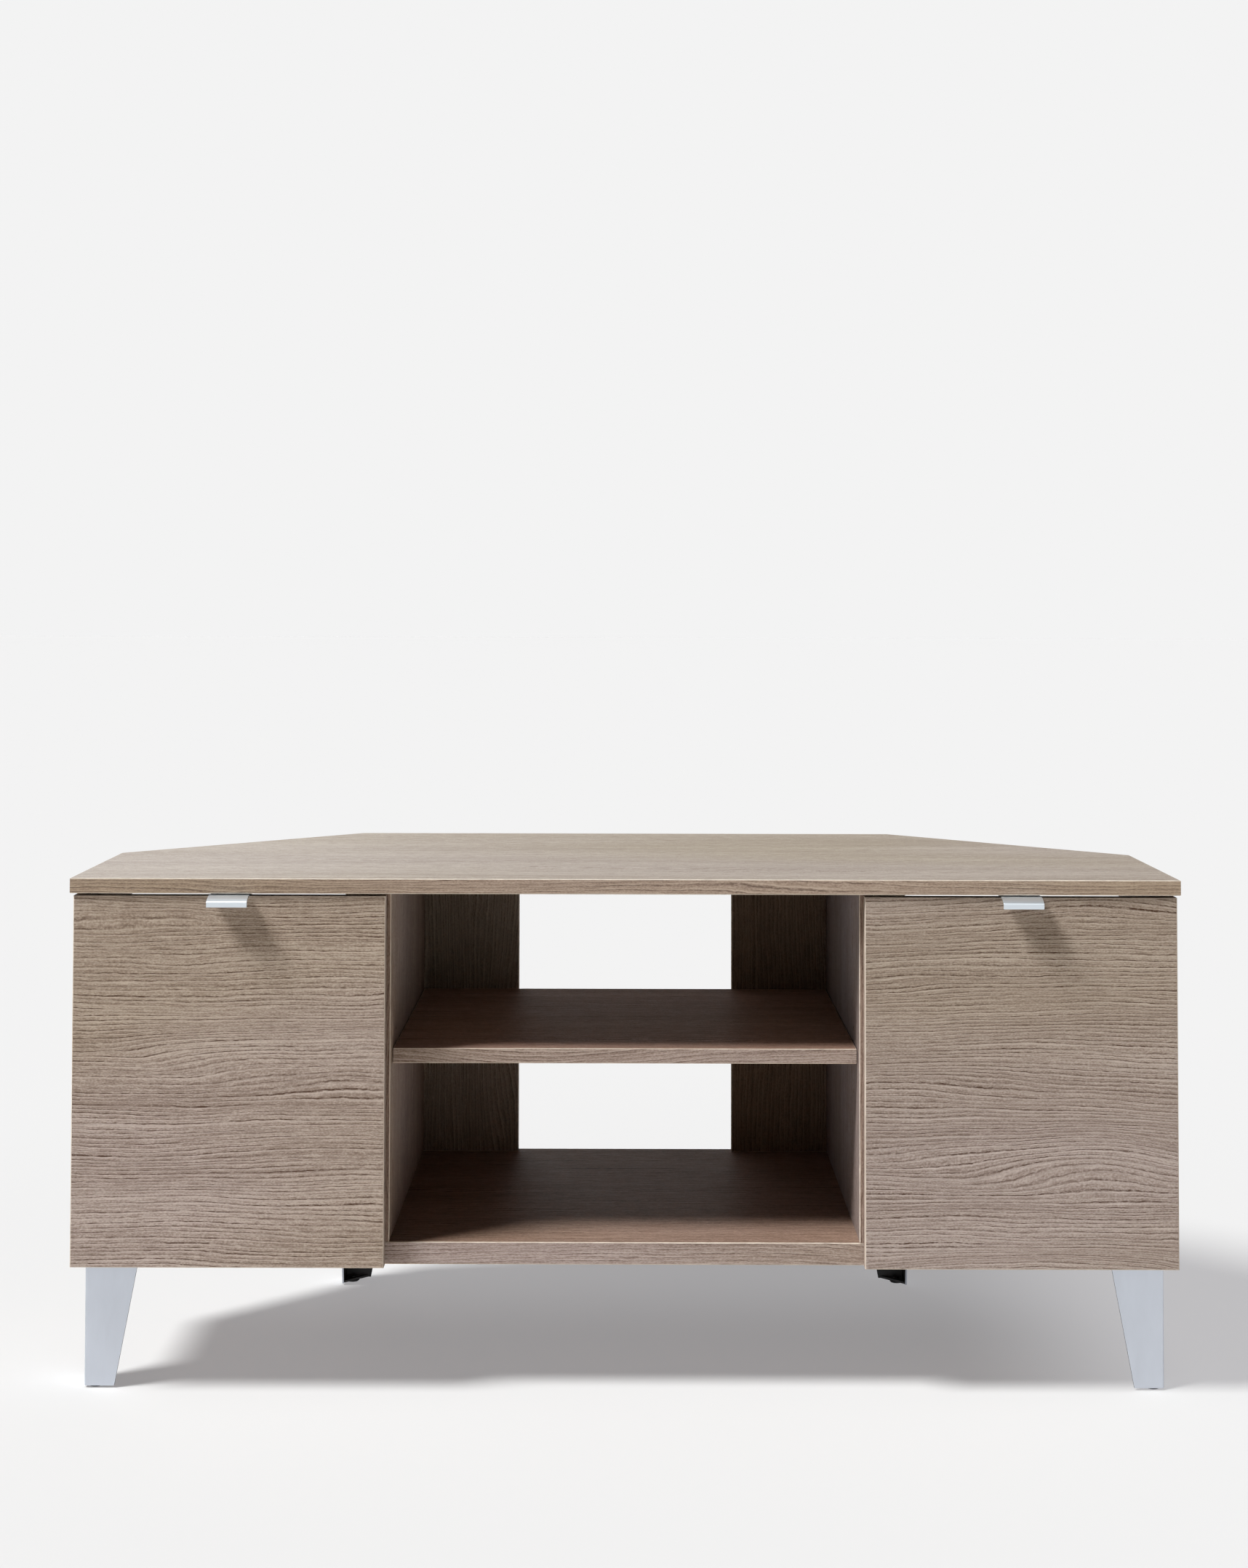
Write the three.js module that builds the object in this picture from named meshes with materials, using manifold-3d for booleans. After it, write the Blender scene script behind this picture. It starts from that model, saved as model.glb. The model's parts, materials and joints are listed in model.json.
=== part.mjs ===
// A corner television cabinet: an open middle bay with one shelf, a cupboard with a side-hung
// door on each side, and four bent sheet-metal legs. Millimetres, +Z up, front towards -Y.
import * as THREE from 'three';
import { mergeVertices } from 'three/addons/utils/BufferGeometryUtils.js';
import Module from 'manifold-3d';

const kernel = await Module();
kernel.setup();

// Boards
const boardThickness = 15;
const bottomThickness = 22;
const boardArris = 0.8;
const boardJoint = 0.2;

// Top panel, seen from above
const topWidth = 1100;
const topDepth = 485;
const topSideDepth = 246;

// Case under the top
const legHeight = 125;
const bayHeight = 346;
const caseSideInset = 2.5;
const caseFrontInset = 20;
const caseRearInset = 49;
const caseSideDepth = 199;
const bayHalfWidth = 233.5;
const cableHalfWidth = 123.5;
const postCornerInset = 5;

// Shelf and its pins
const shelfUnderside = 172.5;
const shelfSetback = 20;
const shelfEndPlay = 0.8;
const pinHoleRadius = 2.5;
const pinHoleDepth = 9;
const pinPitch = 32;
const pinFrontSetback = 62;
const pinRearSetback = 50;
const pinHeadRadius = 3.5;
const pinHeadLength = 8;
const pinPlay = 0.15;

// Doors
const doorGapBehind = 2;
const doorRise = 0.5;
const doorOuterReveal = 0.5;
const doorPartitionReveal = 4;

// Edge pull on each door
const pullWidth = 40;
const pullSheet = 1.2;
const pullReach = 18;
const pullDrop = 5.6;
const pullCrease = 1.2;
const pullLip = 4.4;
const pullTab = 14;
const pullBend = 1.6;
const pullGap = 0.1;
const pullClearance = 1.3;
const pullScrewSpacing = 24;

// Concealed hinges
const hingeEndDistance = 85;
const cupRadius = 17.5;
const cupCover = 3;
const cupWall = 0.8;
const cupPlay = 0.15;
const cupEdgeDistance = 3.5;
const flangeThickness = 1;
const flangeLip = 1.7;
const earRadius = 6;
const earSpacing = 48;
const earSetback = 5;
const cupPivotFromEdge = 11;
const armPivotFromPanel = 16;
const armPivotBehindFront = 5;
const hingePinRadius = 1.25;
const hingePinPlay = 0.12;
const hingeEyeRadius = 2.5;
const linkThickness = 2.2;
const linkHalfWidth = 4.4;
const lugGap = 0.4;
const lugThickness = 1.2;
const lugHalfWidth = 3.4;
const linkElbowReach = 9;
const linkKneeReach = 17.2;
const linkKneeRise = 3.8;
const linkFloorPlay = 0.9;
const armSheet = 1.4;
const armHalfWidth = 6.9;
const armEyeRadius = 3.6;
const armWebFromPanel = 21;
const armWebFront = 7;
const armShoulder = 20;
const armLength = 64;
const armSeatGap = 0.3;
const armSlotWidth = 5;
const armSlotLength = 13;
const armSlotFromEnd = 12;
const armAdjusterSetback = 33;
const plateThickness = 2;
const plateWingHalfHeight = 22;
const plateWingRadius = 7;
const plateWingSetback = 37;
const plateBlockFront = 25;
const plateBlockFromEnd = 4;
const plateScrewSpacing = 32;

// Screws
const smallScrew = { head: 2.8, rise: 1.3, shank: 1.4, length: 11, recess: 0.7 };
const legScrew = { head: 4, rise: 2, shank: 1.9, length: 16, recess: 1 };
const hingeScrewHead = { head: 3.6, rise: 0.8, recess: 0.5 };
const headCrownShare = 0.7;
const recessWidthShare = 0.28;
const recessSpanShare = 1.3;
const screwPlay = 0.15;

// Legs
const legInset = 10;
const rearLegCornerInset = 7;
const legSheet = 2;
const legBend = 3;
const legTopWidth = 53;
const legFootWidth = 30;
const legPlateThickness = 2.5;
const legScrewNear = 13;
const legScrewFromTip = 19;
const legScrewEdge = 9;
const glideHeight = 2;
const glideRadius = 7.5;
const glideInset = 10;
const glideStemRadius = 2;
const glideCapRadius = 3.4;
const glideCapRise = 1.6;

// Facets, the weld of shared corners, and the overrun of every cut
const roundSides = 24;
const glideSides = 16;
const pinSides = 12;
const bendSides = 3;
const sweepSides = 8;
const weldTolerance = 0.0001;
const cutOverrun = 1;

// Places worked out from the sizes above
const caseBottom = legHeight;
const bayFloor = caseBottom + bottomThickness;
const bayCeiling = bayFloor + bayHeight;
const caseHalfWidth = topWidth / 2 - caseSideInset;
const panelInner = caseHalfWidth - boardThickness;
const caseFront = caseFrontInset;
const caseRear = topDepth - caseRearInset;
const caseSideRear = caseFront + caseSideDepth;
const caseCornerHalfWidth = caseHalfWidth - (caseRear - caseSideRear);
const postFront = caseRear - boardThickness;
const doorBack = caseFront - doorGapBehind;
const doorFront = doorBack - boardThickness;
const doorTop = bayCeiling - pullClearance - pullSheet - pullGap;
const doorBottom = caseBottom + doorRise;
const doorOuter = caseHalfWidth - doorOuterReveal;
const doorInner = bayHalfWidth + doorPartitionReveal;
const doorMiddle = (doorOuter + doorInner) / 2;
const shelfBottom = bayFloor + shelfUnderside;
const pinHeight = shelfBottom - boardJoint - pinHeadRadius;
const cupDepth = boardThickness - cupCover;
const cupMiddle = doorOuter - cupEdgeDistance - cupRadius;
const cupPivot = new THREE.Vector2(doorOuter - cupPivotFromEdge, doorBack - cupDepth / 2);
const armEnd = caseFront + armLength;
const armSlotMiddle = armEnd - armSlotFromEnd;
const armPivot = new THREE.Vector2(panelInner - armPivotFromPanel, caseFront + armPivotBehindFront);
const frontMost = doorFront - pullReach - pullSheet / 2;
const middleDepth = (frontMost + topDepth) / 2;
const sides = [['left', -1], ['right', 1]];

const finishes = {
  oak: new THREE.MeshStandardMaterial({ color: 0xa5968a, roughness: 0.55, metalness: 0 }),
  silver: new THREE.MeshStandardMaterial({ color: 0xb9bdc2, roughness: 0.38, metalness: 0.85 }),
  bright: new THREE.MeshStandardMaterial({ color: 0xd2d4d6, roughness: 0.3, metalness: 0.9 }),
  nickel: new THREE.MeshStandardMaterial({ color: 0xb4b2ac, roughness: 0.28, metalness: 1 }),
  black: new THREE.MeshStandardMaterial({ color: 0x1c1c1d, roughness: 0.6, metalness: 0 }),
};

// Axes of an outline: flat on the floor plane, upright facing X, or upright facing the front
const floorPlane = new THREE.Matrix4();
const sidePlane = new THREE.Matrix4().makeBasis(
  new THREE.Vector3(0, 1, 0),
  new THREE.Vector3(0, 0, 1),
  new THREE.Vector3(1, 0, 0),
);
const frontPlane = new THREE.Matrix4().makeBasis(
  new THREE.Vector3(1, 0, 0),
  new THREE.Vector3(0, 0, 1),
  new THREE.Vector3(0, -1, 0),
);

function solidFrom(geometry) {
  const bare = new THREE.BufferGeometry();
  const plain = geometry.index ? geometry.toNonIndexed() : geometry;
  bare.setAttribute('position', plain.getAttribute('position'));
  const merged = mergeVertices(bare, weldTolerance);
  return new kernel.Manifold(new kernel.Mesh({
    numProp: 3,
    vertProperties: new Float32Array(merged.attributes.position.array),
    triVerts: new Uint32Array(merged.index.array),
  }));
}

function geometryFrom(solid) {
  const mesh = solid.getMesh();
  const geometry = new THREE.BufferGeometry();
  geometry.setAttribute('position', new THREE.BufferAttribute(new Float32Array(mesh.vertProperties), 3));
  geometry.setIndex(new THREE.BufferAttribute(new Uint32Array(mesh.triVerts), 1));
  const shaded = geometry.toNonIndexed();
  shaded.computeVertexNormals();
  return shaded;
}

function join(...solids) {
  return kernel.Manifold.union(solids);
}

function cut(solid, ...tools) {
  return solid.subtract(kernel.Manifold.union(tools));
}

function outline(points) {
  return new THREE.Shape(points.map(([u, v]) => new THREE.Vector2(u, v)));
}

function rectangle(left, low, right, high) {
  return outline([[left, low], [right, low], [right, high], [left, high]]);
}

function disc(u, v, radius) {
  const shape = new THREE.Shape();
  shape.absarc(u, v, radius, 0, 2 * Math.PI, false);
  return shape;
}

// A bar with round ends, between two points
function bar(start, end, radius) {
  const along = Math.atan2(end.y - start.y, end.x - start.x);
  const shape = new THREE.Shape();
  shape.absarc(end.x, end.y, radius, along - Math.PI / 2, along + Math.PI / 2, false);
  shape.absarc(start.x, start.y, radius, along + Math.PI / 2, along + 1.5 * Math.PI, false);
  return shape;
}

// A plain extrusion from one height to another, along the third axis of its plane
function prism(shape, from, to, plane = floorPlane, curveSegments = pinSides / 4) {
  const geometry = new THREE.ExtrudeGeometry(shape, {
    depth: to - from,
    bevelEnabled: false,
    curveSegments,
  });
  geometry.translate(0, 0, from);
  geometry.applyMatrix4(plane);
  return solidFrom(geometry);
}

// A board whose long edges are eased, from one face to the other
function board(shape, from, thickness, plane = floorPlane) {
  const geometry = new THREE.ExtrudeGeometry(shape, {
    depth: thickness - 2 * boardArris,
    bevelEnabled: true,
    bevelThickness: boardArris,
    bevelSize: boardArris,
    bevelOffset: -boardArris,
    bevelSegments: 2,
  });
  geometry.translate(0, 0, from + boardArris);
  geometry.applyMatrix4(plane);
  return solidFrom(geometry);
}

// A round rod along Z, X or the front axis, with its sides counted
function rod(radius, from, to, u, v, plane = floorPlane, count = pinSides) {
  return prism(disc(u, v, radius), from, to, plane, count / 2);
}

function place(parent, name, solid, finish) {
  const mesh = new THREE.Mesh(geometryFrom(solid), finish);
  mesh.name = name;
  parent.add(mesh);
  return mesh;
}

// Footprint of the top or the bottom panel: a straight front and cut-off rear corners
function footprint(halfWidth, front, sideRear, rear) {
  const rearHalfWidth = halfWidth - (rear - sideRear);
  return outline([
    [-halfWidth, front],
    [halfWidth, front],
    [halfWidth, sideRear],
    [rearHalfWidth, rear],
    [-rearHalfWidth, rear],
    [-halfWidth, sideRear],
  ]);
}

function makeTopPanel() {
  return board(footprint(topWidth / 2, 0, topSideDepth, topDepth), bayCeiling, boardThickness);
}

// Corner of a leg in the case's right half, and the two directions its flanges run in
const legCorners = [
  ['front', caseHalfWidth - legInset, caseFront + legInset, 1],
  ['rear', caseCornerHalfWidth - rearLegCornerInset, caseRear - legInset, -1],
];

// Places of a leg's three screws, from its outer corner
const legScrewPlaces = [
  ['inner', legScrewNear, legScrewNear],
  ['side', legScrewEdge, legTopWidth - legScrewFromTip],
  ['middle', legTopWidth - legScrewFromTip, legScrewEdge],
];

function legScrewPoints() {
  const points = [];
  for (const [corner, x, y, run] of legCorners) {
    for (const [where, across, along] of legScrewPlaces) {
      points.push({ corner, where, x: x - across, y: y + run * along });
    }
  }
  return points;
}

function makeBottomPanel() {
  const panel = board(
    footprint(caseHalfWidth, caseFront, caseSideRear, caseRear), caseBottom, bottomThickness);
  const holes = [];
  for (const [, side] of sides) {
    for (const { x, y } of legScrewPoints()) {
      holes.push(rod(
        legScrew.shank + screwPlay, caseBottom - cutOverrun, caseBottom + legScrew.length, side * x, y));
    }
  }
  return cut(panel, ...holes);
}

function uprightBoard(inner, front, rear) {
  const shape = rectangle(front, bayFloor + boardJoint, rear, bayCeiling - boardJoint);
  return board(shape, inner, boardThickness, sidePlane);
}

function makeSidePanel() {
  return uprightBoard(panelInner, caseFront, caseSideRear);
}

function pinPlaces() {
  return [caseFront + pinFrontSetback, postFront - pinRearSetback];
}

function makePartition() {
  const holes = [];
  for (const y of pinPlaces()) {
    for (const row of [-1, 0, 1]) {
      holes.push(rod(
        pinHoleRadius,
        bayHalfWidth - cutOverrun,
        bayHalfWidth + pinHoleDepth,
        y,
        pinHeight + row * pinPitch,
        sidePlane,
      ));
    }
  }
  return cut(uprightBoard(bayHalfWidth, caseFront, postFront - boardJoint), ...holes);
}

function makeBackPost() {
  const shape = rectangle(
    cableHalfWidth, bayFloor + boardJoint, caseCornerHalfWidth - postCornerInset, bayCeiling - boardJoint);
  return board(shape, -caseRear, boardThickness, frontPlane);
}

function makeShelf() {
  const halfWidth = bayHalfWidth - shelfEndPlay;
  const shape = rectangle(-halfWidth, caseFront + shelfSetback, halfWidth, postFront - boardJoint);
  return board(shape, shelfBottom, boardThickness);
}

function makeShelfPin(y) {
  const shank = rod(
    pinHoleRadius - pinPlay, bayHalfWidth - boardJoint, bayHalfWidth + pinHoleDepth - boardJoint,
    y, pinHeight, sidePlane);
  const head = rod(
    pinHeadRadius, bayHalfWidth - pinHeadLength, bayHalfWidth - boardJoint, y, pinHeight, sidePlane);
  return join(head, shank);
}

// Heights of the two hinges of a door
const hingeHeights = [
  ['lower', doorBottom + hingeEndDistance],
  ['upper', doorTop - hingeEndDistance],
];

const pullScrewHeight = doorTop - pullTab / 2;
const pullScrewPlaces = [
  ['inner', doorMiddle - pullScrewSpacing / 2],
  ['outer', doorMiddle + pullScrewSpacing / 2],
];

function makeDoor() {
  const panel = board(rectangle(doorInner, doorBottom, doorOuter, doorTop), -doorBack, boardThickness, frontPlane);
  const holes = [];
  for (const [, height] of hingeHeights) {
    holes.push(rod(
      cupRadius, -doorBack - cutOverrun, cupDepth + cupPlay - doorBack,
      cupMiddle, height, frontPlane, roundSides));
  }
  for (const [, x] of pullScrewPlaces) {
    holes.push(rod(
      smallScrew.shank + screwPlay, -doorBack - cutOverrun, smallScrew.length - doorBack,
      x, pullScrewHeight, frontPlane));
  }
  return cut(panel, ...holes);
}

// Points along an arc that turns from one angle to another, counted from upright towards the front
function arcPoints(y, z, radius, from, to, count) {
  const points = [];
  for (let step = 0; step <= count; step += 1) {
    const turn = from + (step / count) * (to - from);
    points.push([y - radius * Math.sin(turn), z + radius * Math.cos(turn)]);
  }
  return points;
}

// Side view of the edge pull: up the back of the door, over its top edge, down in a shallow
// sweep, and round a crease into an upright lip
function pullProfile(offset) {
  const back = doorBack + pullGap + pullSheet / 2;
  const crown = doorTop + pullGap + pullSheet / 2;
  const slope = 2 * Math.atan((pullDrop - pullCrease) / (pullReach - pullCrease));
  const sweep = pullCrease + (pullReach - pullCrease) / Math.sin(slope);
  const lipLine = doorFront - pullReach;
  return [
    [back + offset, doorTop - pullTab],
    ...arcPoints(back - pullBend, crown - pullBend, pullBend + offset, -Math.PI / 2, 0, bendSides),
    ...arcPoints(doorFront, crown - sweep, sweep + offset, 0, slope, sweepSides),
    ...arcPoints(
      lipLine + pullCrease, crown - pullDrop, pullCrease + offset, slope, Math.PI / 2, bendSides).slice(1),
    [lipLine - offset, crown - pullDrop - pullLip],
  ];
}

function makePull() {
  const outside = pullProfile(pullSheet / 2);
  const inside = pullProfile(-pullSheet / 2).reverse();
  const body = prism(
    outline([...outside, ...inside]), doorMiddle - pullWidth / 2, doorMiddle + pullWidth / 2, sidePlane);
  const holes = pullScrewPlaces.map(([, x]) => rod(
    smallScrew.shank + screwPlay, -doorBack - pullGap - pullSheet - cutOverrun, cutOverrun - doorBack,
    x, pullScrewHeight, frontPlane));
  return cut(body, ...holes);
}

// A pan-head screw that points along +Z with the underside of its head at zero
function makeScrew({ head, rise, shank, length, recess }) {
  const profile = [
    new THREE.Vector2(0, -rise),
    new THREE.Vector2(head * headCrownShare, -rise),
    new THREE.Vector2(head, -rise / 2),
    new THREE.Vector2(head, 0),
    new THREE.Vector2(shank, 0),
    new THREE.Vector2(shank, length - shank),
    new THREE.Vector2(0, length),
  ];
  const geometry = new THREE.LatheGeometry(profile, pinSides);
  geometry.rotateX(Math.PI / 2);
  return cut(solidFrom(geometry), ...crossRecess(head, -rise - cutOverrun, recess - rise));
}

function crossRecess(head, from, to) {
  const halfSpan = (head * recessSpanShare) / 2;
  const halfWidth = (head * recessWidthShare) / 2;
  return [
    prism(rectangle(-halfSpan, -halfWidth, halfSpan, halfWidth), from, to),
    prism(rectangle(-halfWidth, -halfSpan, halfWidth, halfSpan), from, to),
  ];
}

// The cup pressed into the door: a round tub with a screwed flange, two lugs and the cup pin
function makeHingeCup() {
  const floor = cupDepth - doorBack;
  const mouth = -doorBack;
  const rim = mouth - flangeThickness;
  const outer = cupRadius - cupPlay;
  const inner = outer - cupWall;
  const tub = rod(outer, mouth, floor, cupMiddle, 0, frontPlane, roundSides);
  const lip = rod(outer + flangeLip, rim, mouth, cupMiddle, 0, frontPlane, roundSides);
  const earLine = cupMiddle - earSetback;
  const low = new THREE.Vector2(earLine, -earSpacing / 2);
  const high = new THREE.Vector2(earLine, earSpacing / 2);
  const ears = prism(bar(low, high, earRadius), rim, mouth, frontPlane);
  const hollow = rod(inner, rim - cutOverrun, floor - cupWall, cupMiddle, 0, frontPlane, roundSides);
  const shell = cut(join(tub, lip, ears), hollow);
  const pieces = [shell];
  const lugInner = linkHalfWidth + lugGap;
  const foot = new THREE.Vector2(cupPivot.x, doorBack - cupDepth + cupWall / 2 + lugHalfWidth);
  for (const face of [-lugInner - lugThickness, lugInner]) {
    pieces.push(prism(bar(foot, cupPivot, lugHalfWidth), face, face + lugThickness));
  }
  const pinEnd = lugInner + lugThickness / 2;
  pieces.push(rod(hingePinRadius, -pinEnd, pinEnd, cupPivot.x, cupPivot.y));
  for (const end of [low, high]) {
    pieces.push(screwHead(end.x, end.y, rim));
  }
  return join(...pieces);
}

// A screw head seen on a flange of the door's back, facing into the cupboard
function screwHead(x, z, seat) {
  const { head, rise, recess } = hingeScrewHead;
  const dome = rod(head, seat - rise, seat + flangeThickness / 2, x, z, frontPlane);
  const cross = crossRecess(head, seat - rise - cutOverrun, seat - rise + recess)
    .map((tool) => tool.rotate([90, 0, 0]).translate([x, 0, z]));
  return cut(dome, ...cross);
}

// The bent link that joins the arm pin to the cup pin round the rim of the cup
function makeHingeLink() {
  const cupFloor = doorBack - cupDepth + cupWall;
  const elbow = new THREE.Vector2(
    cupPivot.x - linkElbowReach, cupFloor + linkFloorPlay + linkThickness / 2);
  const knee = new THREE.Vector2(cupPivot.x - linkKneeReach, cupPivot.y + linkKneeRise);
  const path = [cupPivot, elbow, knee, armPivot];
  const pieces = path.slice(1).map((point, index) => prism(
    bar(path[index], point, linkThickness / 2), -linkHalfWidth, linkHalfWidth));
  const holes = [];
  for (const pivot of [cupPivot, armPivot]) {
    pieces.push(rod(hingeEyeRadius, -linkHalfWidth, linkHalfWidth, pivot.x, pivot.y));
    holes.push(rod(
      hingePinRadius + hingePinPlay, -linkHalfWidth - cutOverrun, linkHalfWidth + cutOverrun,
      pivot.x, pivot.y));
  }
  return cut(join(...pieces), ...holes);
}

// Outline of an arm's cheek: an eye round the pin that widens into the channel
function armCheekOutline() {
  const web = panelInner - armWebFromPanel;
  const open = panelInner - plateThickness - boardJoint - armSeatGap;
  const shape = new THREE.Shape();
  shape.moveTo(web, armEnd);
  shape.lineTo(web, caseFront + armWebFront + armEyeRadius);
  shape.lineTo(armPivot.x - armEyeRadius, armPivot.y);
  shape.absarc(armPivot.x, armPivot.y, armEyeRadius, Math.PI, 2 * Math.PI, false);
  shape.lineTo(open, caseFront + armShoulder);
  shape.lineTo(open, armEnd);
  shape.closePath();
  return shape;
}

function makeHingeArm() {
  const web = panelInner - armWebFromPanel;
  const cheekInner = armHalfWidth - armSheet;
  const pieces = [-armHalfWidth, cheekInner].map(
    (face) => prism(armCheekOutline(), face, face + armSheet));
  pieces.push(prism(
    rectangle(web, caseFront + armWebFront + armEyeRadius, web + armSheet, armEnd),
    -armHalfWidth, armHalfWidth));
  const pinEnd = armHalfWidth - armSheet / 2;
  pieces.push(rod(hingePinRadius, -pinEnd, pinEnd, armPivot.x, armPivot.y));
  pieces.push(rod(
    hingeScrewHead.head, web - hingeScrewHead.rise, web + armSheet / 2,
    caseFront + armAdjusterSetback, 0, sidePlane));
  const slotRadius = armSlotWidth / 2;
  const slotReach = armSlotLength / 2 - slotRadius;
  const slot = prism(
    bar(
      new THREE.Vector2(armSlotMiddle - slotReach, 0),
      new THREE.Vector2(armSlotMiddle + slotReach, 0),
      slotRadius,
    ),
    web - cutOverrun, web + armSheet + cutOverrun, sidePlane);
  return cut(join(...pieces), slot);
}

// The plate screwed to the side panel, with the block and screw that the arm clamps on
function makeHingePlate() {
  const seat = panelInner - boardJoint;
  const web = panelInner - armWebFromPanel;
  const wingMiddle = caseFront + plateWingSetback;
  const blockHalfWidth = armHalfWidth - armSheet - armSeatGap;
  const wings = prism(
    bar(
      new THREE.Vector2(wingMiddle, plateWingRadius - plateWingHalfHeight),
      new THREE.Vector2(wingMiddle, plateWingHalfHeight - plateWingRadius),
      plateWingRadius,
    ),
    seat - plateThickness, seat, sidePlane);
  const block = prism(
    rectangle(
      caseFront + plateBlockFront, -blockHalfWidth, armEnd - plateBlockFromEnd, blockHalfWidth),
    web + armSheet + armSeatGap, seat, sidePlane);
  const shank = rod(
    armSlotWidth / 2 - armSeatGap, web - armSeatGap, web + armSheet + cutOverrun,
    armSlotMiddle, 0, sidePlane);
  const cap = rod(
    hingeScrewHead.head, web - armSeatGap - hingeScrewHead.rise, web - armSeatGap,
    armSlotMiddle, 0, sidePlane);
  const pieces = [wings, block, shank, cap];
  for (const end of [-1, 1]) {
    pieces.push(rod(
      hingeScrewHead.head, seat - plateThickness - hingeScrewHead.rise, seat - plateThickness / 2,
      wingMiddle, (end * plateScrewSpacing) / 2, sidePlane));
  }
  return join(...pieces);
}

// Plan of a bent sheet whose outer corner is at the origin, with legs along -X and +Y
function angleOutline(size) {
  const shape = new THREE.Shape();
  shape.moveTo(-size, 0);
  shape.lineTo(-legBend, 0);
  shape.absarc(-legBend, legBend, legBend, -Math.PI / 2, 0, false);
  shape.lineTo(0, size);
  shape.lineTo(-legSheet, size);
  shape.lineTo(-legSheet, legBend);
  shape.absarc(-legBend, legBend, legBend - legSheet, 0, -Math.PI / 2, true);
  shape.lineTo(-size, legSheet);
  shape.closePath();
  return shape;
}

// Plan of the flat corner that closes the bent sheet at its head or its foot
function gussetOutline(size) {
  const shape = new THREE.Shape();
  shape.moveTo(-size, 0);
  shape.lineTo(-legBend, 0);
  shape.absarc(-legBend, legBend, legBend, -Math.PI / 2, 0, false);
  shape.lineTo(0, size);
  shape.closePath();
  return shape;
}

// A leg with its outer corner at the origin, tapered towards the foot on its free edges
function makeLeg() {
  const top = legHeight - boardJoint;
  const foot = glideHeight;
  const angle = prism(angleOutline(legTopWidth), foot, top);
  const flange = (sign) => outline([
    [cutOverrun * sign, foot - cutOverrun],
    [-legFootWidth * sign, foot - cutOverrun],
    [-legFootWidth * sign, foot],
    [-legTopWidth * sign, top],
    [-legTopWidth * sign, top + cutOverrun],
    [cutOverrun * sign, top + cutOverrun],
  ]);
  const taperAcross = prism(flange(1), -legTopWidth - cutOverrun, cutOverrun, frontPlane);
  const taperAlong = prism(flange(-1), -legTopWidth - cutOverrun, cutOverrun, sidePlane);
  const lid = prism(gussetOutline(legTopWidth), top - legPlateThickness, top);
  const sole = prism(gussetOutline(legFootWidth), foot, foot + legPlateThickness);
  const holes = legScrewPlaces.map(([, across, along]) => rod(
    legScrew.shank + screwPlay, top - legPlateThickness - cutOverrun, top + cutOverrun,
    -across, along));
  holes.push(rod(
    glideStemRadius + screwPlay, foot - cutOverrun, foot + legPlateThickness + cutOverrun,
    -glideInset, glideInset));
  const sheet = angle.intersect(taperAcross).intersect(taperAlong);
  return cut(join(sheet, lid, sole), ...holes);
}

// A round plastic glide whose stem goes through the leg's sole and ends in a cap
function makeGlide() {
  const solePlay = boardJoint;
  const soleTop = glideHeight + legPlateThickness + solePlay;
  const profile = [
    new THREE.Vector2(0, 0),
    new THREE.Vector2(glideRadius - glideHeight / 2, 0),
    new THREE.Vector2(glideRadius, glideHeight / 2),
    new THREE.Vector2(glideRadius, glideHeight - solePlay),
    new THREE.Vector2(glideStemRadius, glideHeight - solePlay),
    new THREE.Vector2(glideStemRadius, soleTop),
    new THREE.Vector2(glideCapRadius, soleTop),
    new THREE.Vector2(glideCapRadius - glideCapRise / 2, soleTop + glideCapRise),
    new THREE.Vector2(0, soleTop + glideCapRise),
  ];
  const geometry = new THREE.LatheGeometry(profile, glideSides);
  geometry.rotateX(Math.PI / 2);
  return solidFrom(geometry);
}

// Adds every piece of one side to a group that the caller mirrors for the left
function addSide(group, side) {
  place(group, `${side}_side_panel`, makeSidePanel(), finishes.oak);
  place(group, `${side}_partition`, makePartition(), finishes.oak);
  place(group, `${side}_back_post`, makeBackPost(), finishes.oak);
  place(group, `${side}_door`, makeDoor(), finishes.oak);
  place(group, `${side}_pull`, makePull(), finishes.bright);
  const [frontPin, rearPin] = pinPlaces();
  place(group, `${side}_front_shelf_pin`, makeShelfPin(frontPin), finishes.nickel);
  place(group, `${side}_rear_shelf_pin`, makeShelfPin(rearPin), finishes.nickel);
  for (const [where, x] of pullScrewPlaces) {
    const screw = place(group, `${side}_pull_${where}_screw`, makeScrew(smallScrew), finishes.nickel);
    screw.rotation.x = Math.PI / 2;
    screw.position.set(x, doorBack + pullGap + pullSheet + pullGap, pullScrewHeight);
  }
  for (const [level, height] of hingeHeights) {
    const makers = { plate: makeHingePlate, arm: makeHingeArm, link: makeHingeLink, cup: makeHingeCup };
    for (const [kind, make] of Object.entries(makers)) {
      const piece = place(group, `${side}_${level}_hinge_${kind}`, make(), finishes.nickel);
      piece.position.z = height;
    }
  }
  for (const [corner, x, y, run] of legCorners) {
    const leg = place(group, `${side}_${corner}_leg`, makeLeg(), finishes.silver);
    leg.position.set(x, y, 0);
    leg.scale.y = run;
    const glide = place(group, `${side}_${corner}_glide`, makeGlide(), finishes.black);
    glide.position.set(x - glideInset, y + run * glideInset, 0);
  }
  for (const { corner, where, x, y } of legScrewPoints()) {
    const screw = place(
      group, `${side}_${corner}_leg_${where}_screw`, makeScrew(legScrew), finishes.nickel);
    screw.position.set(x, y, caseBottom - boardJoint - legPlateThickness - boardJoint);
  }
}

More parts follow.
